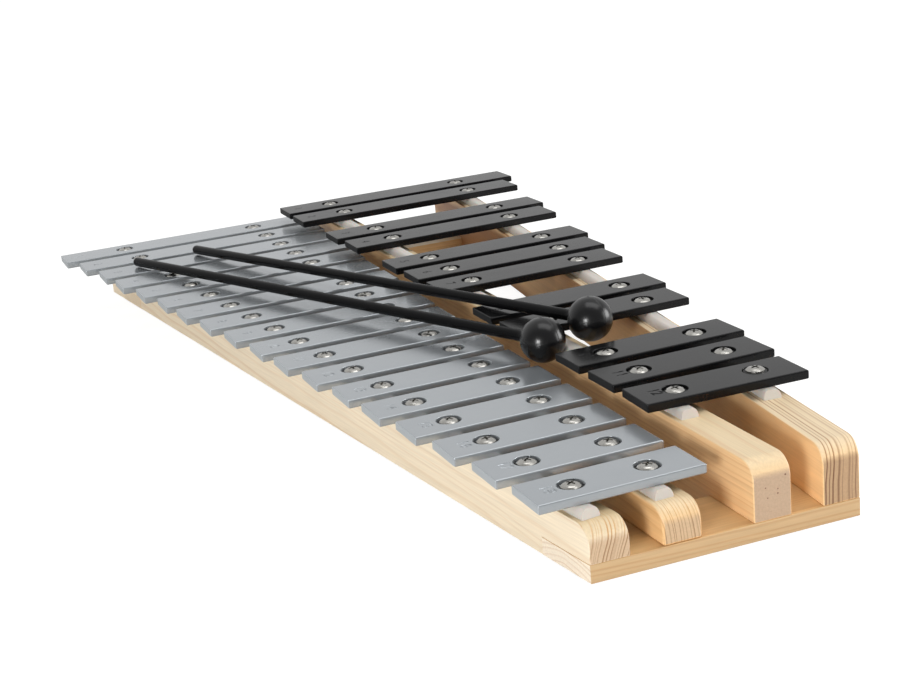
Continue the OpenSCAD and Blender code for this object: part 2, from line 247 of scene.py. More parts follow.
steelBars = {
    "naturalColour": "#A8ADB1",
    "naturalWorn": "#BBBEC0",
    "accidentalColour": "#0E0E0F",
    "accidentalWorn": "#2A2A2B",
    "roughness": 0.2,
    "patchScale": 38.0,
    "patchWear": 0.22,
    "gritPitch": 0.9,  # mm between specks of settled dust
    "gritWear": 0.25,
    "sawn": (0.6, 0.95),  # how far a face looks along the bar, from none to all of an end's look
    "orangePeel": 1.6,  # mm between the ripples of the sprayed coat
    "peelDepth": 0.2,
}


def makeLacquer(name, colour, worn, metallic, specular):
    # Stoving lacquer sprayed on flat rolled steel: soft gloss, faint ripples, and a paler coat where dust has
    # settled and handling has dulled it. The sawn ends under the coat are rougher, so they shine less.
    material, tree, shader = newMaterial(name, {"IOR": 1.5, "Specular IOR Level": specular})
    place = addNode(tree, "ShaderNodeTexCoord")
    cloud = noise(tree, place.outputs["Object"], steelBars["patchScale"], 5.0, 0.6)
    grit = noise(tree, place.outputs["Object"], 1 / (mm * steelBars["gritPitch"]), 2.0)
    patches = remap(tree, cloud, (0.42, 0.75), (0.0, steelBars["patchWear"]))
    specks = remap(tree, grit, (0.62, 0.75), (0.0, steelBars["gritWear"]))
    wear = calc(tree, "MAXIMUM", patches, specks)
    tone = blend(tree, wear, linearColour(colour), linearColour(worn))
    tree.links.new(tone, shader.inputs["Base Color"])
    gloss = steelBars["roughness"]
    dull = remap(tree, cloud, (0.3, 0.7), (gloss - 0.03, gloss + 0.04))
    sides = split(tree, place.outputs["Normal"])
    sawn = calc(tree, "ABSOLUTE", sides[1])
    sawnRough = remap(tree, sawn, steelBars["sawn"], (0, 0.3))
    roughSum = calc(tree, "ADD", dull, sawnRough)
    tree.links.new(roughSum.outputs[0], shader.inputs["Roughness"])
    flakes = remap(tree, sawn, steelBars["sawn"], (metallic, metallic * 0.2))
    tree.links.new(flakes.outputs[0], shader.inputs["Metallic"])
    ripple = noise(tree, place.outputs["Object"], 1 / (mm * steelBars["orangePeel"]), 1.0)
    bump = addNode(tree, "ShaderNodeBump", {
        "Strength": 0.06, "Distance": steelBars["peelDepth"] * mm, "Height": ripple})
    tree.links.new(bump.outputs[0], shader.inputs["Normal"])
    return material


pineCut = {
    "earlyTop": "#E6CFA8",
    # the side colour is painted shade: warmer than the top, as the sides lie in shade between the rails
    "earlySideLightAndShade": "#F0C48C",
    "lateFace": "#CC985C",
    "earlyEnd": "#D3B48F",
    "lateEnd": "#9C7048",
    "speckColour": "#6A3F26",
    "lateStart": 0.5,  # share of a year's growth before its dark line sets in
    "lateCrest": 0.84,
    "lateStop": 0.95,
    "lateBend": 2.0,  # years that the spacing of the rings wanders by
    "weakestYear": 0.5,
    "speckPitch": 3.6,  # mm
    "specks": 0.0,
    "fibreWidth": 0.9,  # mm, drawn coarser than real fibres so that they show
    "fibreLength": 45.0,  # mm
    "fibreTone": (1.04, 0.88),
    "relief": 0.12,  # mm
}


def makePine(name, origin, heading, plank):
    # Planed pine under a thin clear coat. The growth rings are cylinders round a pith line beside the plank, so
    # ends show lines or arcs and faces show stripes or long arches, as the saw left them. Sides and tops are given
    # different colours as painted light and shade: the sides warmer where they lie in shade, paler where lit.
    wood = {**pineCut, **plank}
    material, tree, shader = newMaterial(
        name, {"Roughness": 0.5, "IOR": 1.5, "Coat Weight": 0.1, "Coat Roughness": 0.3})
    place = addNode(tree, "ShaderNodeTexCoord")
    start = (origin[0] - plank["slide"] * math.cos(heading), origin[1] - plank["slide"] * math.sin(heading), 0)
    along = addNode(tree, "ShaderNodeMapping", {
        "vector_type": "TEXTURE", "Location": start, "Rotation": (0, plank["tilt"][1], heading + plank["tilt"][0]),
        "Vector": place.outputs["Object"]})
    slow = vectorCalc(tree, "MULTIPLY", along, (8.0, 34.0, 34.0))
    wander = noise(tree, slow, 1.0, 2.0)
    across = vectorCalc(tree, "MULTIPLY_ADD", along, (0, 1, 1), (0, -plank["pith"][0] * mm, -plank["pith"][1] * mm))
    reach = vectorCalc(tree, "LENGTH", across)
    bent = calc(tree, "MULTIPLY_ADD", wander, plank["wave"] * mm, reach.outputs["Value"])
    years = calc(tree, "DIVIDE", bent, plank["ringWidth"] * mm)
    season = addNode(tree, "ShaderNodeTexNoise", {
        "noise_dimensions": "1D", "Scale": 0.45, "Detail": 1.0, "W": years})
    uneven = calc(tree, "MULTIPLY_ADD", season.outputs["Fac"], wood["lateBend"], years)
    ring = calc(tree, "FRACT", uneven)
    late = addNode(tree, "ShaderNodeValToRGB", {"Fac": ring})
    late.color_ramp.elements[0].position = wood["lateStart"]
    late.color_ramp.elements[0].color = (0, 0, 0, 1)
    late.color_ramp.elements[1].position = wood["lateCrest"]
    late.color_ramp.elements[1].color = (1, 1, 1, 1)
    late.color_ramp.elements.new(wood["lateStop"]).color = (0, 0, 0, 1)

    # each year's dark line has its own strength, and one side of a plank can be plainer than the other
    yearNumber = calc(tree, "FLOOR", uneven)
    vigour = addNode(tree, "ShaderNodeTexWhiteNoise", {"noise_dimensions": "1D", "W": yearNumber})
    square = addNode(tree, "ShaderNodeMapping", {
        "vector_type": "TEXTURE", "Location": (origin[0], origin[1], 0), "Rotation": (0, 0, heading),
        "Vector": place.outputs["Object"]})
    sides = split(tree, square)
    fade = remap(tree, sides[1], (-8 * mm, 8 * mm), plank["fade"])
    strength = remap(tree, vigour.outputs["Value"], (0, 1), (wood["weakestYear"], 1.0))
    lineStrength = calc(tree, "MULTIPLY", fade, strength)

    # ends drink more of the coat, so their rings are darker, and square ends look redder than rounded ones
    facing = vectorCalc(tree, "DOT_PRODUCT", place.outputs["Normal"], (math.cos(heading), math.sin(heading), 0))
    flatness = calc(tree, "ABSOLUTE", facing.outputs["Value"])
    end = remap(tree, flatness, (0.9, 0.99))
    amount = remap(tree, flatness, (0.2, 0.7), (plank["contrast"], plank["endContrast"]))
    shown = calc(tree, "MULTIPLY", lineStrength, amount)
    ringTone = calc(tree, "MULTIPLY", late.outputs["Color"], shown)
    upright = split(tree, place.outputs["Normal"])
    # painted light and shade: the sides and tops of one wood take different colours by which way they face
    face = blend(tree, upright[2], linearColour(wood["earlySideLightAndShade"]), linearColour(wood["earlyTop"]))
    early = blend(tree, end, face, linearColour(wood["earlyEnd"]))
    dark = blend(tree, end, linearColour(wood["lateFace"]), linearColour(wood["lateEnd"]))
    rings = blend(tree, ringTone, early, dark)

    width = 1 / (mm * wood["fibreWidth"])
    fine = vectorCalc(tree, "MULTIPLY", along, (1 / (mm * wood["fibreLength"]), width, width))
    fibre = noise(tree, fine, 1.0, 3.0, 0.65)
    streak = remap(tree, fibre, (0.3, 0.75), wood["fibreTone"])
    toned = addNode(tree, "ShaderNodeVectorMath", {"operation": "SCALE", 0: rings, "Scale": streak})
    # resin specks, here and there on the ends
    spots = addNode(tree, "ShaderNodeTexVoronoi", {
        "Scale": 1 / (mm * wood["speckPitch"]), "Vector": place.outputs["Object"]})
    small = remap(tree, spots.outputs["Distance"], (0.13, 0.08), (0, wood["specks"]))
    onEnd = calc(tree, "MULTIPLY", small, end)
    specked = blend(tree, onEnd, toned, linearColour(wood["speckColour"]))
    tree.links.new(specked, shader.inputs["Base Color"])
    relief = calc(tree, "MULTIPLY_ADD", fibre, -0.5, ringTone)
    bump = addNode(tree, "ShaderNodeBump", {"Strength": 0.2, "Distance": wood["relief"] * mm, "Height": relief})
    tree.links.new(bump.outputs[0], shader.inputs["Normal"])
    return material


moulded = {"mottlePitch": 14, "skinStrength": 0.25}  # mm


def makeSoft(name, colour, shade, roughness, texture, depth, settings=None):
    # Moulded or extruded rubber and plastic: one colour through and through, with a faint mottle and a skin that
    # isn't quite smooth. Texture and depth are the pitch and height of the skin's unevenness in millimetres.
    material, tree, shader = newMaterial(name, {"Roughness": roughness, "IOR": 1.5, **(settings or {})})
    place = addNode(tree, "ShaderNodeTexCoord")
    mottle = noise(tree, place.outputs["Object"], 1 / (mm * moulded["mottlePitch"]), 4.0)
    tone = blend(tree, mottle, linearColour(colour), linearColour(shade))
    tree.links.new(tone, shader.inputs["Base Color"])
    skin = noise(tree, place.outputs["Object"], 1 / (mm * texture), 2.0)
    bump = addNode(tree, "ShaderNodeBump", {
        "Strength": moulded["skinStrength"], "Distance": depth * mm, "Height": skin})
    tree.links.new(bump.outputs[0], shader.inputs["Normal"])
    return material, tree, shader, place, bump


plating = {"cloudScale": 420.0, "polished": -0.05, "scuffed": 0.12}  # changes of roughness


def makePlating(name, colour, dull, roughness):
    # Nickel or zinc plating on steel: bright metal with cloudy patches, some polished and some scuffed.
    material, tree, shader = newMaterial(name, {"Metallic": 1.0, "Roughness": roughness})
    place = addNode(tree, "ShaderNodeTexCoord")
    cloud = noise(tree, place.outputs["Object"], plating["cloudScale"], 3.0)
    tone = blend(tree, cloud, linearColour(colour), linearColour(dull))
    tree.links.new(tone, shader.inputs["Base Color"])
    rough = remap(tree, cloud, (0.35, 0.7), (roughness + plating["polished"], roughness + plating["scuffed"]))
    tree.links.new(rough.outputs[0], shader.inputs["Roughness"])
    return material


greyLacquer = makeLacquer("greyStovingLacquer", steelBars["naturalColour"], steelBars["naturalWorn"],
                          metallic=0.6, specular=0.5)
blackLacquer = makeLacquer("blackStovingLacquer", steelBars["accidentalColour"], steelBars["accidentalWorn"],
                           metallic=0.0, specular=0.2)
stripRubber = makeSoft("whiteFoamRubber", "#D2CCC4", "#C4BDB5", roughness=0.62, texture=0.7, depth=0.1,
                       settings={"Subsurface Weight": 0.2, "Subsurface Scale": 2 * mm})[0]
washerRubber = makeSoft("blackRubber", "#0B0B0B", "#141414", roughness=0.6, texture=0.5, depth=0.1)[0]
nickel = makePlating("nickelPlatedSteel", "#BDBBB6", "#9C9A95", roughness=0.22)
zinc = makePlating("zincPlatedSteel", "#C6C7C4", "#A8A9A6", roughness=0.34)
print("materials ready")


# Tone bars

toneBar = {
    "longest": 168.5,
    "halvingSteps": 23.5,
    "width": 24.0,
    "thickness": 4.0,
    "edgeRadius": 0.75,
    "rimShare": 0.33,  # of that radius, round the holes
    "creaseAngle": 1.0,  # radians
    "drillLength": 20.0,
    "drillSides": 48,
    "weld": 0.002,
    "counterbore": 11.2,
    "through": 6.5,
    "shoulderDepth": 2.25,
    "lastBarTurn": -2.4,  # degrees, its holes are drilled off its middle line
    "markSize": 7.5,
    "markInset": 9.5,
    "markDepth": 0.16,
}


def makeBarTree():
    # bar lengths fall by half in a fixed number of semitones, as equal thickness asks
    tree, given = newTree("toneBar", {
        "Semitone": "Int", "Longest": "Float", "Halving": "Float", "Width": "Float", "Thickness": "Float",
        "Low Hole": "Vector", "High Hole": "Vector", "Counterbore": "Float", "Through": "Float", "Depth": "Float",
        "Mark": "String", "Mark Size": "Float", "Mark Inset": "Float", "Mark Depth": "Float",
        "Place": "Vector", "Turn": "Vector", "Material": "Material"})
    ratio = calc(tree, "DIVIDE", given["Semitone"], given["Halving"])
    power = calc(tree, "POWER", 0.5, ratio)
    length = calc(tree, "MULTIPLY", given["Longest"], power)
    size = vector(tree, given["Width"], length, given["Thickness"])
    blank = addNode(tree, "GeometryNodeMeshCube", {"Size": size})
    topFace = calc(tree, "MULTIPLY", given["Thickness"], 0.5)

    drillLength = toneBar["drillLength"] * mm
    cutters = []
    boreLift = calc(tree, "ADD", topFace, drillLength / 2)
    boreFloor = calc(tree, "SUBTRACT", boreLift, given["Depth"])
    boreOffset = vector(tree, 0.0, 0.0, boreFloor)
    for hole in ("Low Hole", "High Hole"):
        borePlace = vectorCalc(tree, "ADD", given[hole], boreOffset)
        for diameter, spot in (("Through", given[hole]), ("Counterbore", borePlace)):
            radius = calc(tree, "MULTIPLY", given[diameter], 0.5)
            drill = addNode(tree, "GeometryNodeMeshCylinder", {
                "Vertices": toneBar["drillSides"], "Depth": drillLength, "Radius": radius})
            cutters.append(move(tree, drill.outputs["Mesh"], spot))

    # the bar's number, stamped near its low end
    digits = addNode(tree, "GeometryNodeStringToCurves", {
        "align_x": "CENTER", "align_y": "MIDDLE", "String": given["Mark"], "Size": given["Mark Size"]})
    outlines = addNode(tree, "GeometryNodeRealizeInstances", {"Geometry": digits})
    face = addNode(tree, "GeometryNodeFillCurve", {"mode": "TRIANGLES", "Curve": outlines})
    punchLength = calc(tree, "MULTIPLY", given["Mark Depth"], 2.0)
    punch = addNode(tree, "GeometryNodeExtrudeMesh", {
        "Individual": False, "Offset": (0, 0, 1), "Mesh": face, "Offset Scale": punchLength})
    foot = addNode(tree, "GeometryNodeFlipFaces", {"Mesh": face})
    joined = addNode(tree, "GeometryNodeJoinGeometry", {"Geometry": [punch.outputs["Mesh"], foot]})
    stamp = addNode(tree, "GeometryNodeMergeByDistance", {"Distance": toneBar["weld"] * mm, "Geometry": joined})
    lowEnd = calc(tree, "MULTIPLY_ADD", length, -0.5, given["Mark Inset"])
    stampFloor = calc(tree, "SUBTRACT", topFace, given["Mark Depth"])
    stampPlace = vector(tree, 0.0, lowEnd, stampFloor)
    cutters.append(move(tree, stamp, stampPlace))

    cut = addNode(tree, "GeometryNodeMeshBoolean", {
        "operation": "DIFFERENCE", "solver": "EXACT", "Mesh 1": blank.outputs["Mesh"], "Mesh 2": cutters})

    # outer edges take the full rounding, hole rims a third of it, stamped digits none
    spot = addNode(tree, "GeometryNodeInputPosition")
    apart = split(tree, spot)
    outer = []
    for axis, extent in ((0, given["Width"]), (1, length)):
        distance = calc(tree, "ABSOLUTE", apart[axis])
        limit = calc(tree, "MULTIPLY", extent, 0.499)
        outer.append(calc(tree, "GREATER_THAN", distance, limit))
    onEdge = calc(tree, "MAXIMUM", outer[0], outer[1])
    rims = []
    flat = vectorCalc(tree, "MULTIPLY", spot, (1, 1, 0))
    for hole in ("Low Hole", "High Hole"):
        distance = vectorCalc(tree, "DISTANCE", flat, given[hole])
        rims.append(calc(tree, "LESS_THAN", distance.outputs["Value"], given["Counterbore"]))
    nearHole = calc(tree, "MAXIMUM", rims[0], rims[1])
    rimShare = calc(tree, "MULTIPLY", nearHole, toneBar["rimShare"])
    share = calc(tree, "MAXIMUM", onEdge, rimShare)
    angle = addNode(tree, "GeometryNodeInputMeshEdgeAngle")
    sharp = calc(tree, "GREATER_THAN", angle.outputs["Unsigned Angle"], toneBar["creaseAngle"])
    weighted = addNode(tree, "GeometryNodeStoreNamedAttribute", {
        "data_type": "FLOAT", "domain": "EDGE", "Name": "bevel_weight_edge", "Geometry": cut.outputs["Mesh"],
        "Selection": sharp, "Value": share})
    turned = move(tree, weighted, given["Place"], given["Turn"])
    smooth = addNode(tree, "GeometryNodeSetShadeSmooth", {"Geometry": turned})
    endTree(tree, smooth, given["Material"])
    return tree


barTree = makeBarTree()
marks = {True: 0, False: 0}
for semitone, name in enumerate(barNames):
    natural = isNatural(name)
    marks[natural] += 1
    middle = middleOf(name)
    turn = math.radians(toneBar["lastBarTurn"]) if name == "bar_a_sharp7" else 0.0
    rows = ("natural_outer", "natural_inner") if natural else ("accidental_inner", "accidental_outer")
    holes = [Vector((0, railLine(row, middle.x) - middle.y, 0)) for row in rows]
    holes = [Matrix.Rotation(-turn, 3, "Z") @ hole for hole in holes]
    piece = growPiece(name.replace("bar_", "toneBar_"), barTree, {
        "Semitone": semitone, "Longest": toneBar["longest"] * mm, "Halving": toneBar["halvingSteps"],
        "Width": toneBar["width"] * mm, "Thickness": toneBar["thickness"] * mm,
        "Low Hole": holes[0], "High Hole": holes[1], "Counterbore": toneBar["counterbore"] * mm,
        "Through": toneBar["through"] * mm, "Depth": toneBar["shoulderDepth"] * mm,
        "Mark": str(marks[natural]), "Mark Size": toneBar["markSize"] * mm, "Mark Inset": toneBar["markInset"] * mm,
        "Mark Depth": toneBar["markDepth"] * mm, "Place": middle, "Turn": Vector((0, 0, turn)),
        "Material": greyLacquer if natural else blackLacquer}, rounding=toneBar["edgeRadius"] * mm)
    attach(piece, name, name)
print("tone bars ready:", len(barNames))


# Rails and battens

# of each plank: the pith's place beside its axis in mm, its tilt to the axis in radians, how far along the trunk it
# was sawn in metres, how strong its rings show, and their fade from one side to the other
planks = {
    "railWidth": 16.5,
    "endRadius": 8.0,
    "arris": 0.6,  # mm, the edges are broken with sandpaper, one rail's more than the others
    "battenArris": 0.2,
    "battenWidth": 33.0,
    "battenThickness": 7.5,
    # the side colours below carry painted light and shade: warmer on sides in shade, paler on the lit outer face
    "natural_outer": {"ringWidth": 1.55, "pith": (230, -60), "tilt": (0.012, 0.006), "slide": 0.0, "wave": 4.0,
                      "contrast": 0.4, "endContrast": 1.25, "fade": (0.8, 1.2), "arris": 0.4,
                      "earlyTop": "#D9C299", "earlySideLightAndShade": "#F4E3C8", "earlyEnd": "#D2B594"},
    "natural_inner": {"ringWidth": 1.4, "pith": (-260, -20), "tilt": (-0.008, 0.004), "slide": 0.7, "wave": 4.0,
                      "contrast": 0.6, "endContrast": 1.15, "fade": (1.0, 1.0), "arris": 1.2},
    "accidental_inner": {"ringWidth": 2.5, "pith": (-58, -70), "tilt": (0.01, 0.008), "slide": 1.4, "wave": 6.0,
                         "contrast": 0.35, "endContrast": 0.08, "fade": (1.2, 0.6), "specks": 0.9,
                         "lateFace": "#C88E58", "earlySideLightAndShade": "#F4CC98", "earlyEnd": "#C2A589"},
    "accidental_outer": {"ringWidth": 2.1, "pith": (240, 10), "tilt": (-0.004, 0.0), "slide": 2.1, "wave": 3.0,
                         "contrast": 1.3, "endContrast": 1.6, "fade": (1.1, 0.45), "lateFace": "#A87444",
                         "earlyTop": "#E8D2AE", "earlySideLightAndShade": "#F4CC96", "earlyEnd": "#BE9B76", "lateEnd": "#6E4424"},
    "treble": {"ringWidth": 2.4, "pith": (2, -14), "tilt": (0.0, 0.01), "slide": 2.8, "wave": 5.0,
               "contrast": 0.75, "endContrast": 0.9, "fade": (1.0, 0.8), "lateFace": "#BE8C5A",
               "earlySideLightAndShade": "#CFAE82", "earlyTop": "#DDB680", "earlyEnd": "#F6E7D2", "lateEnd": "#D2B08C"},
    "bass": {"ringWidth": 2.2, "pith": (20, -40), "tilt": (0.01, 0.0), "slide": 3.5, "wave": 5.0,
             "contrast": 0.6, "endContrast": 0.5, "fade": (1.0, 1.0), "earlyEnd": "#EBD8BC", "lateEnd": "#CDB08A"},
}


def makeRail(row):
    node = row + "_rail"
    low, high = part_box(node)
    radius = planks["endRadius"] * mm
    notchTop = planks["battenThickness"] * mm
    arc = [math.radians(90 * step / 8) for step in range(9)]
    notch = trebleEnd - planks["battenWidth"] * mm
    treble = [(notch, 0), (notch, notchTop), (trebleEnd, notchTop)]
    treble += [(trebleEnd - radius + radius * math.cos(a), high[2] - radius + radius * math.sin(a)) for a in arc]
    bass = [(low[0] + radius - radius * math.sin(a), high[2] - radius + radius * math.cos(a)) for a in arc]
    bass += [(low[0], 0), (bassBatten[0][0], 0), (bassBatten[0][0], notchTop), (bassBatten[1][0], notchTop),
             (bassBatten[1][0], 0)]
    half = planks["railWidth"] * mm / 2
    faces = []
    for across in (-half, half):
        loop = [(atTreble(x, railLine(row, x) + across), z) for x, z in treble] + bass
        faces.append([(x, railLine(row, x) + across, z) for x, z in loop])
    heading = railAngle(row)
    pine = makePine("planedPine_" + row, (trebleEnd, railLine(row, trebleEnd)), heading, planks[row])
    piece = makeSolid("rail_" + row, faces[0], faces[1], pine, planks[row].get("arris", planks["arris"]) * mm)
    attach(piece, "frame", node)


def makeBatten(end):
    node = end + "_batten"
    low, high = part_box(node)
    half = planks["railWidth"] * mm / 2
    ends = (trebleEnd - planks["battenWidth"] * mm, trebleEnd) if end == "treble" else (low[0], high[0])
    plan = []
    for row, side, edges in (("natural_outer", -half, ends), ("accidental_outer", half, ends[::-1])):
        for x in edges:
            if end == "treble":
                x = atTreble(x, railLine(row, x) + side)
            plan.append((x, railLine(row, x) + side))
    levels = [[(x, y, z) for x, y in plan] for z in (low[2], high[2])]
    pine = makePine("planedPine_" + end, (sum(ends) / 2, 0), math.radians(90), planks[end])
    piece = makeSolid("batten_" + end, levels[0], levels[1], pine, planks["battenArris"] * mm)
    attach(piece, "frame", node)


for row in layout:
    makeRail(row)
for end in ("treble", "bass"):
    makeBatten(end)
print("rails and battens ready")


# Bearing strips

strip = {
    "width": 8.0,
    "height": 4.0,
    "crown": 3.2,
    "endSlope": 10.0,  # degrees from the upright
    "shift": 2.2,  # mm off the screws' line, towards the player
    "unshifted": "accidental_outer",
    "steps": 90,
    "sides": 40,
}


def makeStripTree():
    # a D-section run along the rail, pressed flat on its crown, with slanted ends
    tree, given = newTree("bearingStrip", {
        "Start": "Vector", "End": "Vector", "Width": "Float", "Height": "Float", "Crown": "Float", "Slant": "Float",
        "Material": "Material"})
    line = addNode(tree, "GeometryNodeCurvePrimitiveLine", {"Start": given["Start"], "End": given["End"]})
    path = addNode(tree, "GeometryNodeResampleCurve", {"Count": strip["steps"], "Curve": line})
    way = addNode(tree, "GeometryNodeSplineParameter")
    marked = addNode(tree, "GeometryNodeCaptureAttribute", {"domain": "POINT", "Geometry": path})
    marked.capture_items.new("FLOAT", "Way")
    tree.links.new(way.outputs["Factor"], marked.inputs["Way"])
    ring = addNode(tree, "GeometryNodeCurvePrimitiveCircle", {"Resolution": strip["sides"], "Radius": 1.0})
    spot = addNode(tree, "GeometryNodeInputPosition")
    unit = split(tree, spot)
    sideways = calc(tree, "SUBTRACT", given["Width"], given["Crown"])
    halfSide = calc(tree, "MULTIPLY", sideways, 0.5)
    halfCrown = calc(tree, "MULTIPLY", given["Crown"], 0.5)
    leftRight = calc(tree, "SIGN", unit[0])
    flatPart = calc(tree, "MULTIPLY", leftRight, halfCrown)
    x = calc(tree, "MULTIPLY_ADD", unit[0], halfSide, flatPart)
    above = calc(tree, "MINIMUM", unit[1], 0.0)
    y = calc(tree, "MULTIPLY", above, given["Height"])
    shape = vector(tree, x, y)
    section = addNode(tree, "GeometryNodeSetPosition", {"Geometry": ring, "Position": shape})
    swept = addNode(tree, "GeometryNodeCurveToMesh", {"Fill Caps": True, "Curve": marked, "Profile Curve": section})
    # the ends lean in over the height of the strip
    here = addNode(tree, "GeometryNodeInputPosition")
    parts = split(tree, here)
    startParts = split(tree, given["Start"])
    rise = calc(tree, "SUBTRACT", parts[2], startParts[2])
    lean = calc(tree, "MULTIPLY", rise, given["Slant"])
    atEnd = calc(tree, "GREATER_THAN", marked.outputs["Way"], 0.995)
    atStart = calc(tree, "LESS_THAN", marked.outputs["Way"], 0.005)
    sense = calc(tree, "SUBTRACT", atStart, atEnd)
    shift = calc(tree, "MULTIPLY", lean, sense)
    offset = vector(tree, shift)
    slanted = addNode(tree, "GeometryNodeSetPosition", {"Geometry": swept, "Offset": offset})
    smooth = addNode(tree, "GeometryNodeSetShadeSmooth", {"Geometry": slanted})
    endTree(tree, smooth, given["Material"])
    return tree


stripTree = makeStripTree()
for row in layout:
    node = row + "_strip"
    low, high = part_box(node)
    shift = 0 if row == strip["unshifted"] else strip["shift"] * mm
    piece = growPiece("strip_" + row, stripTree, {
        "Start": Vector((low[0], railLine(row, low[0]) - shift, low[2])),
        "End": Vector((high[0], railLine(row, high[0]) - shift, low[2])),
        "Width": strip["width"] * mm, "Height": strip["height"] * mm, "Crown": strip["crown"] * mm,
        "Slant": math.tan(math.radians(strip["endSlope"])), "Material": stripRubber})
    normals = piece.modifiers.new("sharpEnds", "WEIGHTED_NORMAL")
    normals.keep_sharp = True
    attach(piece, "frame", node)
print("bearing strips ready")


# Screws and washers

screw = {
    "headRadius": 4.1,
    "rimHeight": 0.55,
    "domeHeight": 1.3,
    "shankRadius": 1.75,
    "shankLength": 4.0,
    "crossLength": 4.0,
    "crossWidth": 0.95,
    "crossDepth": 1.1,
    "headSink": 1.2,  # underside of the head below the bar's top face
    "domePowers": (2.4, 0.75),  # of the distance from the middle, and of the height
    "sides": 40,
    "rings": 7,
    "creaseAngle": 0.7,  # radians
}
frameScrew = {
    "headRadius": 3.5,
    "rimHeight": 0.3,
    "domeHeight": 0.06,
    "shankRadius": 1.75,
    "shankLength": 17.5,
    "crossLength": 3.6,
    "crossWidth": 0.9,
    "crossDepth": 0.9,
}
# the rounding is a share of the thickness, the play is left above a lifted bar
washer = {"outer": 10.4, "bore": 3.6, "thickness": 0.8, "rounding": 0.35, "play": 0.02}
screwSizes = {"Head Radius": "headRadius", "Rim Height": "rimHeight", "Dome Height": "domeHeight",
              "Shank Radius": "shankRadius", "Shank Length": "shankLength", "Cross Length": "crossLength",
              "Cross Width": "crossWidth", "Cross Depth": "crossDepth"}


def makeScrewTree():
    # a domed head with a cross recess, repeated on the given points and turned at random as it was driven home
    tree, given = newTree("crossScrews", {
        **{label: "Float" for label in screwSizes}, "Flip": "Float", "Seed": "Int", "Material": "Material"})
    disc = addNode(tree, "GeometryNodeMeshCylinder", {
        "Vertices": screw["sides"], "Fill Segments": screw["rings"], "Side Segments": 1,
        "Radius": given["Head Radius"], "Depth": given["Rim Height"]})
    spot = addNode(tree, "GeometryNodeInputPosition")
    parts = split(tree, spot)
    flat = vectorCalc(tree, "MULTIPLY", spot, (1, 1, 0))
    radius = vectorCalc(tree, "LENGTH", flat)
    share = calc(tree, "DIVIDE", radius.outputs["Value"], given["Head Radius"])
    steep = calc(tree, "POWER", share, screw["domePowers"][0])
    fall = calc(tree, "SUBTRACT", 1.0, steep, use_clamp=True)
    arch = calc(tree, "POWER", fall, screw["domePowers"][1])
    lift = calc(tree, "MULTIPLY", arch, given["Dome Height"])
    top = calc(tree, "GREATER_THAN", parts[2], 0.0)
    raised = calc(tree, "MULTIPLY", lift, top)
    half = calc(tree, "MULTIPLY", given["Rim Height"], 0.5)
    seated = calc(tree, "ADD", raised, half)
    offset = vector(tree, 0.0, 0.0, seated)
    domed = addNode(tree, "GeometryNodeSetPosition", {"Geometry": disc.outputs["Mesh"], "Offset": offset})
    crown = calc(tree, "ADD", given["Rim Height"], given["Dome Height"])
    crownPlace = vector(tree, 0.0, 0.0, crown)
    deep = calc(tree, "MULTIPLY", given["Cross Depth"], 2.0)
    slotSize = vector(tree, given["Cross Length"], given["Cross Width"], deep)
    arm = addNode(tree, "GeometryNodeMeshCube", {"Size": slotSize})
    arms = []
    for turn in (0.0, math.pi / 2):
        arms.append(move(tree, arm.outputs["Mesh"], crownPlace, (0, 0, turn)))
    # the recess narrows to a point between its arms
    taper = addNode(tree, "GeometryNodeMeshCone", {
        "Vertices": 24, "Radius Bottom": 0.0, "Radius Top": given["Cross Width"], "Depth": deep})
    cone = move(tree, taper.outputs["Mesh"], crownPlace)
    sunk = calc(tree, "MULTIPLY", deep, -0.5)
    lowered = vector(tree, 0.0, 0.0, sunk)
    middle = move(tree, cone, lowered)
    head = addNode(tree, "GeometryNodeMeshBoolean", {
        "operation": "DIFFERENCE", "solver": "EXACT", "Mesh 1": domed, "Mesh 2": arms + [middle]})
    shank = addNode(tree, "GeometryNodeMeshCylinder", {
        "Vertices": 20, "Radius": given["Shank Radius"], "Depth": given["Shank Length"]})
    down = calc(tree, "MULTIPLY", given["Shank Length"], -0.5)
    downPlace = vector(tree, 0.0, 0.0, down)
    hung = move(tree, shank.outputs["Mesh"], downPlace)
    whole = addNode(tree, "GeometryNodeJoinGeometry", {"Geometry": [head.outputs["Mesh"], hung]})
    angle = addNode(tree, "GeometryNodeInputMeshEdgeAngle")
    crease = calc(tree, "LESS_THAN", angle.outputs["Unsigned Angle"], screw["creaseAngle"])
    smooth = addNode(tree, "GeometryNodeSetShadeSmooth", {
        "domain": "EDGE", "Geometry": whole, "Shade Smooth": crease})
    spin = addNode(tree, "FunctionNodeRandomValue", {
        "data_type": "FLOAT", "Min": 0.0, "Max": 1.5708, "Seed": given["Seed"]})
    turned = vector(tree, given["Flip"], 0.0, spin.outputs[1])
    copies = addNode(tree, "GeometryNodeInstanceOnPoints", {
        "Points": given["Geometry"], "Instance": smooth, "Rotation": turned})
    endTree(tree, copies, given["Material"])
    return tree


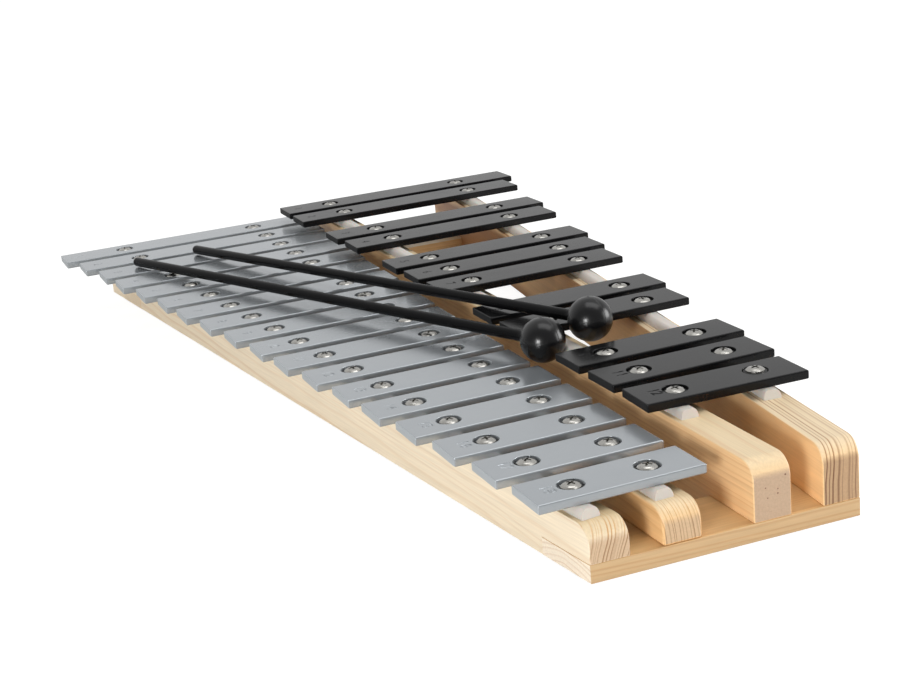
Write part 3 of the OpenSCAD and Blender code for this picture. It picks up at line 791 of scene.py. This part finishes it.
def makeWasherTree():
    # a flat ring with rounded edges, repeated on the given points
    tree, given = newTree("washers", {
        "Outer": "Float", "Bore": "Float", "Thickness": "Float", "Material": "Material"})
    total = calc(tree, "ADD", given["Outer"], given["Bore"])
    reach = calc(tree, "MULTIPLY", total, 0.25)
    band = calc(tree, "SUBTRACT", given["Outer"], given["Bore"])
    bandHalf = calc(tree, "MULTIPLY", band, 0.5)
    path = addNode(tree, "GeometryNodeCurvePrimitiveCircle", {"Resolution": 36, "Radius": reach})
    section = addNode(tree, "GeometryNodeCurvePrimitiveQuadrilateral", {
        "Width": bandHalf, "Height": given["Thickness"]})
    corner = calc(tree, "MULTIPLY", given["Thickness"], washer["rounding"])
    eased = addNode(tree, "GeometryNodeFilletCurve", {
        "mode": "POLY", "Count": 3, "Curve": section, "Radius": corner})
    ring = addNode(tree, "GeometryNodeCurveToMesh", {"Curve": path, "Profile Curve": eased})
    smooth = addNode(tree, "GeometryNodeSetShadeSmooth", {"Geometry": ring})
    copies = addNode(tree, "GeometryNodeInstanceOnPoints", {"Points": given["Geometry"], "Instance": smooth})
    endTree(tree, copies, given["Material"])
    return tree


def screwValues(sizes, material, seed, flip=0.0):
    values = {label: sizes[key] * mm for label, key in screwSizes.items()}
    return {**values, "Material": material, "Seed": seed, "Flip": flip}


screwTree = makeScrewTree()
washerTree = makeWasherTree()
for seed, row in enumerate(layout):
    natural = row.startswith("natural")
    bars = [name for name in barNames if isNatural(name) == natural]
    washerLow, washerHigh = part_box(row + "_washers")
    spots = []
    for name in bars:
        middle = middleOf(name)
        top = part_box(name)[1][2]
        # the last accidental's outer screw isn't driven right home
        proud = washerHigh[2] - washerLow[2] - washer["thickness"] * mm if name == bars[-1] else 0.0
        spots.append((middle.x, railLine(row, middle.x), top - screw["headSink"] * mm + proud))
    piece = growPiece("screws_" + row, screwTree, screwValues(screw, nickel, seed), spots)
    attach(piece, "frame", row + "_screws")
    thickness = (washer["thickness"] - washer["play"]) * mm
    under = [(x, y, z - thickness / 2) for x, y, z in spots]
    piece = growPiece("washers_" + row, washerTree, {
        "Outer": washer["outer"] * mm, "Bore": washer["bore"] * mm, "Thickness": thickness,
        "Material": washerRubber}, under)
    attach(piece, "frame", row + "_washers")


def islandMiddles(node):
    # middles, in plan, of the separate solids of a CAD node
    shape = bmesh.new()
    shape.from_mesh(frame["nodes"][node].data)
    bmesh.ops.remove_doubles(shape, verts=shape.verts, dist=1e-6)
    left = set(shape.verts)
    middles = []
    while left:
        island, edge = set(), [left.pop()]
        while edge:
            vert = edge.pop()
            island.add(vert)
            for link in vert.link_edges:
                other = link.other_vert(vert)
                if other in left:
                    left.remove(other)
                    edge.append(other)
        xs, ys = [v.co.x for v in island], [v.co.y for v in island]
        middles.append(((min(xs) + max(xs)) / 2, (min(ys) + max(ys)) / 2))
    shape.free()
    return sorted(middles)


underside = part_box("frame_screws")[0][2]
spots = [(x, y, underside + (frameScrew["rimHeight"] + frameScrew["domeHeight"]) * mm)
         for x, y in islandMiddles("frame_screws")]
piece = growPiece("screws_frame", screwTree, screwValues(frameScrew, zinc, 9, math.pi), spots)
attach(piece, "frame", "frame_screws")
print("screws and washers ready")


# Mallets

mallet = {
    "ballRadius": 11.0,
    "nubSetback": 0.2,  # mm, the ball's skin lies this much under the tips of its nubs
    "stickRadius": 2.8,
    "length": 356.0,
    "flareRadius": 3.8,
    "flareLength": 5.0,
    "pipRadius": 0.55,
    "pipHeight": 0.3,
    "pipSides": 12,
    "sides": 56,
    "flareSteps": 6,
    "ballSteps": 32,
    "stickStop": 19.0,  # mm, the stick's plain part ends this far from the ball's middle
    "seamWidth": 0.35,  # mm, the mould's parting line
    "ballGloss": 0.4,
    "stickGloss": 0.08,
    "restsOn": "bar_b5",  # under both sticks near their butts
    "restGap": 0.4,
    "front_mallet": {"heading": 20.6},
    "back_mallet": {"heading": 18.2},
}


def malletPlastic(name, gloss, ball, direction):
    # Injection-moulded polyethylene: black through and through, a soft sheen, and a parting line all round. The
    # stick is rubbed duller by the hand than the ball.
    material, tree, shader, place, bump = makeSoft(
        name, "#09090A", "#0E0E0F", 0.25, 1.4, 0.1, {"Specular IOR Level": gloss})
    sideways = direction.cross(Vector((0, 0, 1))).normalized()
    away = vectorCalc(tree, "SUBTRACT", place.outputs["Object"], ball)
    off = vectorCalc(tree, "DOT_PRODUCT", away, sideways)
    distance = calc(tree, "ABSOLUTE", off.outputs["Value"])
    ridge = remap(tree, distance, (mallet["seamWidth"] * mm, 0.0), (0, 1), "SMOOTHSTEP")
    seam = addNode(tree, "ShaderNodeBump", {"Strength": 0.7, "Distance": 0.1 * mm, "Height": ridge, "Normal": bump})
    tree.links.new(seam.outputs[0], shader.inputs["Normal"])
    return material


def makeMallet(node):
    high = Vector(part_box(node)[1])
    radius = mallet["ballRadius"] * mm
    heading = math.radians(mallet[node]["heading"])
    ball = Vector((high.x - radius, high.y - radius, high.z - radius))
    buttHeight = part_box(mallet["restsOn"])[1][2] + (mallet["restGap"] + mallet["stickRadius"]) * mm
    slope = math.asin((ball.z - buttHeight) / ((mallet["length"] - mallet["stickRadius"]) * mm))
    direction = Vector((math.cos(heading) * math.cos(slope), math.sin(heading) * math.cos(slope), math.sin(slope)))

    # outline from the butt to the far side of the ball: distance from the ball's middle, radius
    stick, flare = mallet["stickRadius"], mallet["flareRadius"]
    outline = [(-mallet["length"] + stick - stick * math.cos(math.radians(a)), stick * math.sin(math.radians(a)))
               for a in (0, 20, 40, 60, 78)]
    outline += [(-mallet["length"] + stick + share * (mallet["length"] - stick - mallet["stickStop"]), stick)
                for share in (0.0, 0.25, 0.5, 0.75, 1.0)]
    skin = mallet["ballRadius"] - mallet["nubSetback"]
    neck = skin * math.cos(math.asin(flare / skin))
    for step in range(mallet["flareSteps"] + 1):
        share = step / mallet["flareSteps"]
        outline.append((-neck - mallet["flareLength"] * (1 - share), stick + (flare - stick) * share ** 2))
    start = math.degrees(math.asin(flare / skin))
    for step in range(1, mallet["ballSteps"] + 1):
        a = math.radians(start + (180 - start) * step / mallet["ballSteps"])
        outline.append((-skin * math.cos(a), skin * math.sin(a)))
    shape = bmesh.new()
    across = direction.cross(Vector((0, 0, 1))).normalized()
    up = across.cross(direction)
    count = mallet["sides"]
    rings = []
    for distance, reach in outline:
        centre = ball + direction * distance * mm
        if reach < 1e-4:
            rings.append([shape.verts.new(centre)])
            continue
        angles = [math.tau * i / count for i in range(count)]
        rings.append([shape.verts.new(centre + (across * math.cos(a) + up * math.sin(a)) * reach * mm)
                      for a in angles])
    for near, far in zip(rings, rings[1:]):
        for i in range(count):
            j = (i + 1) % count
            corners = [near[i % len(near)], near[j % len(near)], far[j % len(far)], far[i % len(far)]]
            shape.faces.new(list(dict.fromkeys(corners)))
    # small nubs above and below, where the mould was vented
    pipSides = mallet["pipSides"]
    turns = [math.tau * i / pipSides for i in range(pipSides)]
    for sense in (1, -1):
        base = ball + up * sense * (mallet["ballRadius"] - mallet["pipHeight"]) * mm
        loops = []
        for rise, wide in ((0, 1), (0.6, 0.85), (0.99, 0.4)):
            middle = base + up * sense * rise * mallet["pipHeight"] * mm
            loops.append([shape.verts.new(middle + (across * math.cos(a) + direction * math.sin(a))
                                          * mallet["pipRadius"] * wide * mm) for a in turns])
        for inner, outer in zip(loops, loops[1:]):
            for i in range(pipSides):
                j = (i + 1) % pipSides
                shape.faces.new((inner[i], inner[j], outer[j], outer[i]))
        shape.faces.new(loops[0])
        shape.faces.new(loops[-1])
    bmesh.ops.recalc_face_normals(shape, faces=shape.faces)
    for part in shape.faces:
        part.smooth = True
        part.material_index = int((part.calc_center_median() - ball).dot(direction) < -radius)
    mesh = bpy.data.meshes.new(node)
    shape.to_mesh(mesh)
    shape.free()
    for skinName in ("ball", "stick"):
        gloss = mallet[skinName + "Gloss"]
        mesh.materials.append(malletPlastic(skinName + "Polyethylene_" + node, gloss, ball, direction))
    piece = addObject("moulded_" + node, mesh)
    attach(piece, node, node)


for node in ("front_mallet", "back_mallet"):
    makeMallet(node)
print("mallets ready")


# Floor, light and camera

studio = {
    "backdrop": 0.8,
    "room": 0.36,  # the dimmer room behind the camera
    "mirrored": 0.36,  # least that gloss and metal show of the white all round
    "floorSize": 8.0,
    "floorSeen": "#F4F4F2",
    "floorLit": "#E6E6E4",  # a little duller for light that bounces
    "floorWhite": 0.7,  # share of plain white in what the camera sees of the floor
    "whiteLevel": 1.25,
    "backdropWay": (-0.86, 0.42, 0.3),
    "lightsAim": (0.05, 0, 0),
    "floorDrop": 0.0002,  # metres, so that the floor doesn't lie in the undersides
}


def makeFloor():
    half = studio["floorSize"] / 2
    mesh = bpy.data.meshes.new("floor")
    mesh.from_pydata([(-half, -half, 0), (half, -half, 0), (half, half, 0), (-half, half, 0)], [], [(0, 1, 2, 3)])
    floor = addObject("floor", mesh)
    material, tree, shader = newMaterial("mattPaper", {"Roughness": 0.9, "Specular IOR Level": 0.0})
    light = addNode(tree, "ShaderNodeLightPath")
    tone = blend(tree, light.outputs["Is Camera Ray"], linearColour(studio["floorLit"]),
                 linearColour(studio["floorSeen"]))
    tree.links.new(tone, shader.inputs["Base Color"])
    share = calc(tree, "MULTIPLY", light.outputs["Is Camera Ray"], studio["floorWhite"])
    white = addNode(tree, "ShaderNodeEmission", {"Strength": studio["whiteLevel"]})
    mixed = addNode(tree, "ShaderNodeMixShader", {0: share, 1: shader, 2: white})
    tree.links.new(mixed.outputs[0], tree.nodes["Material Output"].inputs["Surface"])
    mesh.materials.append(material)
    floor.location.z = -studio["floorDrop"]


def makeWorld():
    world = bpy.data.worlds.new("studio")
    bpy.context.scene.world = world
    world.use_nodes = True
    tree = world.node_tree
    tree.nodes.clear()
    place = addNode(tree, "ShaderNodeTexCoord")
    # a white backdrop behind the object, a dim room behind the camera
    toBackdrop = vectorCalc(tree, "DOT_PRODUCT", place.outputs["Generated"], studio["backdropWay"])
    fade = remap(tree, toBackdrop.outputs["Value"], (-0.25, 0.55), (studio["room"], studio["backdrop"]),
                 "SMOOTHSTEP")
    light = addNode(tree, "ShaderNodeLightPath")
    mirrored = calc(tree, "ADD", light.outputs["Is Glossy Ray"], light.outputs["Is Transmission Ray"])
    faint = calc(tree, "MULTIPLY", mirrored, studio["mirrored"])
    around = calc(tree, "MAXIMUM", faint, fade)
    level = calc(tree, "MAXIMUM", light.outputs["Is Camera Ray"], around)
    sky = addNode(tree, "ShaderNodeBackground", {"Color": (1, 1, 1, 1), "Strength": level})
    output = addNode(tree, "ShaderNodeOutputWorld", {"Surface": sky})
    output.is_active_output = True


# metres; directions and sizes as the highlights on the mallets' balls show them
softboxes = {
    "keyBox": {"place": (1.40, -1.45, 0.31), "size": (0.48, 0.46), "brightness": 31.0},
    "sideBox": {"place": (0.60, 1.46, 0.35), "size": (0.9, 0.7), "brightness": 8.0},
    "topBox": {"place": (0.25, 0.33, 1.55), "size": (0.8, 1.5), "brightness": 2.05},
}


def makeLight(name, box):
    lamp = bpy.data.lights.new(name, "AREA")
    lamp.shape = "RECTANGLE"
    lamp.size, lamp.size_y = box["size"]
    lamp.energy = box["brightness"] * math.pi * lamp.size * lamp.size_y
    light = addObject(name, lamp)
    light.location = box["place"]
    light.rotation_euler = (Vector(studio["lightsAim"]) - Vector(box["place"])).to_track_quat("-Z", "Y").to_euler()


camera = {
    "place": (1.03395, -0.28671, 0.26104),  # metres, from the lowest bar's middle and the frame's axis
    "heading": 69.22,  # degrees from +Y towards -X
    "pitch": -16.94,
    "roll": -5.41,
    "lens": 63.47,
    "sensor": 36.0,
}


def makeCamera():
    lens = bpy.data.cameras.new("camera")
    lens.lens = camera["lens"]
    lens.sensor_width = camera["sensor"]
    lens.clip_start = 0.01
    eye = addObject("camera", lens)
    turn = (Matrix.Rotation(math.radians(camera["heading"]), 4, "Z")
            @ Matrix.Rotation(math.radians(90 + camera["pitch"]), 4, "X")
            @ Matrix.Rotation(math.radians(camera["roll"]), 4, "Z"))
    eye.matrix_world = Matrix.Translation(Vector((bassLine, frameAxis, 0)) + Vector(camera["place"])) @ turn
    bpy.context.scene.camera = eye


makeFloor()
makeWorld()
for name, box in softboxes.items():
    makeLight(name, box)
makeCamera()
bpy.context.scene.view_settings.view_transform = "Standard"
print("studio ready")
